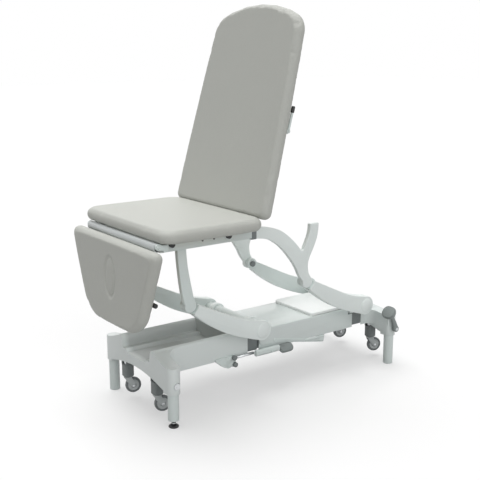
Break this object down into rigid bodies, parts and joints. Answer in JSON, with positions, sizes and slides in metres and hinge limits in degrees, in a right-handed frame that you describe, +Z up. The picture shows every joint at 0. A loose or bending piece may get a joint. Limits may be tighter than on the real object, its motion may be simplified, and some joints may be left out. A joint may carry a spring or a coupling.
{
  "type": "examination couch",
  "caption": "Height-adjustable examination couch with a moulded base, a parallelogram lift, a tilting backrest, a drop leg section and retractable castors",
  "frame": {"origin": "on the floor under the middle of the couch's bounding box in the pose shown", "axes": "+X from the foot end to the head end, +Y to the far side away from the pedals, +Z up"},
  "size_m": [1.4746, 0.7068, 1.7426],
  "materials": {
    "dark_metal": "satin dark grey paint",
    "grey_metal": "light zinc plate",
    "cover_white": "smooth moulded white",
    "lid_white": "smooth moulded white",
    "frame_paint": "smooth pale paint",
    "arm_paint": "smooth pale paint",
    "grey_plastic": "fine grain",
    "dark_plastic": "fine grain",
    "black_plastic": "fine grain",
    "steel": "drawn bar",
    "plywood": "sealed",
    "vinyl": "fine grained upholstery vinyl",
    "vinyl_plug": "fine grained upholstery vinyl",
    "wheel_grey": "smooth tyre"
  },
  "bodies": {
    "base": {"chassis_beam": "dark_metal", "pivot_bearings": "arm_paint", "front_base_cover": "cover_white", "middle_base_cover": "cover_white", "deck_lid": "lid_white", "rear_base_cover": "cover_white", "leg_tubes": "frame_paint", "leg_end_caps": "frame_paint", "castor_housings": "dark_plastic", "pedal_brackets": "frame_paint", "actuator_body": "dark_plastic"},
    "foot": {"levelling_foot": "black_plastic"},
    "pedal_shaft": {"rear_castor_shaft": "steel", "castor_pedal": "grey_plastic"},
    "front_shaft": {"front_castor_shaft": "steel"},
    "link": {"castor_link_rod": "steel"},
    "lift_pedal": {"lift_pedal_bar": "frame_paint", "lift_pedal_pad": "grey_plastic"},
    "front_arms": {"front_arm_frame": "frame_paint", "front_arm_covers": "arm_paint"},
    "rear_arms": {"rear_arm_frame": "frame_paint", "rear_arm_covers": "arm_paint"},
    "lift_rod": {"actuator_rod": "steel"},
    "top": {"seat_frame": "frame_paint", "front_legs": "arm_paint", "rear_arches": "arm_paint", "rail_joint_blocks": "dark_metal", "knee_pins": "dark_metal", "leg_hinge_tube": "frame_paint", "back_hinge_tube": "steel", "seat_board": "plywood", "seat_cushion": "vinyl", "accessory_knobs": "black_plastic", "back_strut_tube": "dark_metal", "leg_strut_tube": "dark_metal"},
    "back_rod": {"back_strut_rod": "steel"},
    "leg_rod": {"leg_strut_rod": "steel"},
    "backrest": {"back_frame": "frame_paint", "back_board": "plywood", "back_cushion": "vinyl"},
    "back_lever": {"back_release_lever": "frame_paint", "back_lever_grip": "black_plastic"},
    "leg_section": {"leg_frame": "frame_paint", "leg_board": "plywood", "leg_cushion": "vinyl", "breather_plug": "vinyl_plug"},
    "leg_lever": {"leg_release_lever": "black_plastic"},
    "stem_fn": {"castor_stem_fn": "steel"},
    "fork_fn": {"castor_fork_fn": "grey_metal"},
    "wheel_fn": {"castor_wheel_fn": "wheel_grey"},
    "stem_ff": {"castor_stem_ff": "steel"},
    "fork_ff": {"castor_fork_ff": "grey_metal"},
    "wheel_ff": {"castor_wheel_ff": "wheel_grey"},
    "stem_rn": {"castor_stem_rn": "steel"},
    "fork_rn": {"castor_fork_rn": "grey_metal"},
    "wheel_rn": {"castor_wheel_rn": "wheel_grey"},
    "stem_rf": {"castor_stem_rf": "steel"},
    "fork_rf": {"castor_fork_rf": "grey_metal"},
    "wheel_rf": {"castor_wheel_rf": "wheel_grey"}
  },
  "joints": [
    {"name": "lift", "type": "hinge", "parent": "base", "child": "front_arms", "pos_m": [-0.10039, 0, 0.3195], "axis": [0, 1, 0], "range_deg": [-47, 27]},
    {"name": "rear_lift", "type": "hinge", "parent": "base", "child": "rear_arms", "pos_m": [0.54061, 0, 0.3195], "axis": [0, 1, 0], "range_deg": [-47, 27]},
    {"name": "top_level", "type": "hinge", "parent": "front_arms", "child": "top", "pos_m": [-0.48309, 0, 0.50204], "axis": [0, 1, 0], "range_deg": [-27, 47]},
    {"name": "lift_drive", "type": "slide", "parent": "base", "child": "lift_rod", "axis": [1, 0, 0], "range_m": [-0.037, 0.064]},
    {"name": "back_tilt", "type": "hinge", "parent": "top", "child": "backrest", "pos_m": [-0.15339, 0, 0.808], "axis": [0, 1, 0], "range_deg": [0, 75]},
    {"name": "back_strut", "type": "slide", "parent": "top", "child": "back_rod", "axis": [1, 0, 0], "range_m": [-0.087, 0.001]},
    {"name": "leg_tilt", "type": "hinge", "parent": "top", "child": "leg_section", "pos_m": [-0.66839, 0, 0.792], "axis": [0, 1, 0], "range_deg": [0, 89]},
    {"name": "leg_strut", "type": "slide", "parent": "top", "child": "leg_rod", "axis": [1, 0, 0], "range_m": [-0.065, 0.001]},
    {"name": "back_release", "type": "hinge", "parent": "backrest", "child": "back_lever", "pos_m": [-0.02825, -0.3055, 1.21047], "axis": [0, 1, 0], "range_deg": [0, 14], "stiffness_Nm_per_rad": 1},
    {"name": "leg_release", "type": "hinge", "parent": "leg_section", "child": "leg_lever", "pos_m": [-0.66567, -0.185, 0.54033], "axis": [0.9998, 0, -0.0175], "range_deg": [-12, 12], "stiffness_Nm_per_rad": 1},
    {"name": "castor_pedal_turn", "type": "hinge", "parent": "base", "child": "pedal_shaft", "pos_m": [0.68061, 0, 0.19], "axis": [0, 1, 0], "range_deg": [0, 79]},
    {"name": "front_shaft_turn", "type": "hinge", "parent": "base", "child": "front_shaft", "pos_m": [-0.59139, 0, 0.19], "axis": [0, 1, 0], "range_deg": [0, 79]},
    {"name": "link_slide", "type": "slide", "parent": "base", "child": "link", "axis": [1, 0, 0], "range_m": [0, 0.0285]},
    {"name": "castor_drop_fn", "type": "slide", "parent": "base", "child": "stem_fn", "axis": [0, 0, -1], "range_m": [0, 0.0285]},
    {"name": "castor_swivel_fn", "type": "hinge", "parent": "stem_fn", "child": "fork_fn", "pos_m": [-0.59139, -0.128, 0.11], "axis": [0, 0, 1], "continuous": true},
    {"name": "castor_roll_fn", "type": "hinge", "parent": "fork_fn", "child": "wheel_fn", "pos_m": [-0.57047, -0.1348, 0.06], "axis": [0.309, 0.9511, 0], "continuous": true},
    {"name": "castor_drop_ff", "type": "slide", "parent": "base", "child": "stem_ff", "axis": [0, 0, -1], "range_m": [0, 0.0285]},
    {"name": "castor_swivel_ff", "type": "hinge", "parent": "stem_ff", "child": "fork_ff", "pos_m": [-0.59139, 0.128, 0.11], "axis": [0, 0, 1], "continuous": true},
    {"name": "castor_roll_ff", "type": "hinge", "parent": "fork_ff", "child": "wheel_ff", "pos_m": [-0.57047, 0.1212, 0.06], "axis": [0.309, 0.9511, 0], "continuous": true},
    {"name": "castor_drop_rn", "type": "slide", "parent": "base", "child": "stem_rn", "axis": [0, 0, -1], "range_m": [0, 0.0285]},
    {"name": "castor_swivel_rn", "type": "hinge", "parent": "stem_rn", "child": "fork_rn", "pos_m": [0.68061, -0.128, 0.11], "axis": [0, 0, 1], "continuous": true},
    {"name": "castor_roll_rn", "type": "hinge", "parent": "fork_rn", "child": "wheel_rn", "pos_m": [0.70153, -0.1348, 0.06], "axis": [0.309, 0.9511, 0], "continuous": true},
    {"name": "castor_drop_rf", "type": "slide", "parent": "base", "child": "stem_rf", "axis": [0, 0, -1], "range_m": [0, 0.0285]},
    {"name": "castor_swivel_rf", "type": "hinge", "parent": "stem_rf", "child": "fork_rf", "pos_m": [0.68061, 0.128, 0.11], "axis": [0, 0, 1], "continuous": true},
    {"name": "castor_roll_rf", "type": "hinge", "parent": "fork_rf", "child": "wheel_rf", "pos_m": [0.70153, 0.1212, 0.06], "axis": [0.309, 0.9511, 0], "continuous": true},
    {"name": "lift_pedal_rock", "type": "hinge", "parent": "base", "child": "lift_pedal", "pos_m": [-0.00239, -0.169, 0.1835], "axis": [0, 1, 0], "range_deg": [-6, 6], "stiffness_Nm_per_rad": 6},
    {"name": "foot_turn", "type": "hinge", "parent": "base", "child": "foot", "pos_m": [-0.59139, -0.258, 0.03], "axis": [0, 0, 1], "continuous": true}
  ],
  "couplings": [
    {"joint": "rear_lift", "follows": "lift", "ratio": 1},
    {"joint": "top_level", "follows": "lift", "ratio": -1},
    {"joint": "lift_drive", "follows": "lift", "m_per_rad": -0.0758},
    {"joint": "back_strut", "follows": "back_tilt", "m_per_rad": -0.0651},
    {"joint": "leg_strut", "follows": "leg_tilt", "m_per_rad": -0.0406},
    {"joint": "front_shaft_turn", "follows": "castor_pedal_turn", "ratio": 1},
    {"joint": "link_slide", "follows": "castor_pedal_turn", "m_per_rad": 0.0203},
    {"joint": "castor_drop_fn", "follows": "castor_pedal_turn", "m_per_rad": 0.0203},
    {"joint": "castor_drop_ff", "follows": "castor_pedal_turn", "m_per_rad": 0.0203},
    {"joint": "castor_drop_rn", "follows": "castor_pedal_turn", "m_per_rad": 0.0203},
    {"joint": "castor_drop_rf", "follows": "castor_pedal_turn", "m_per_rad": 0.0203}
  ]
}
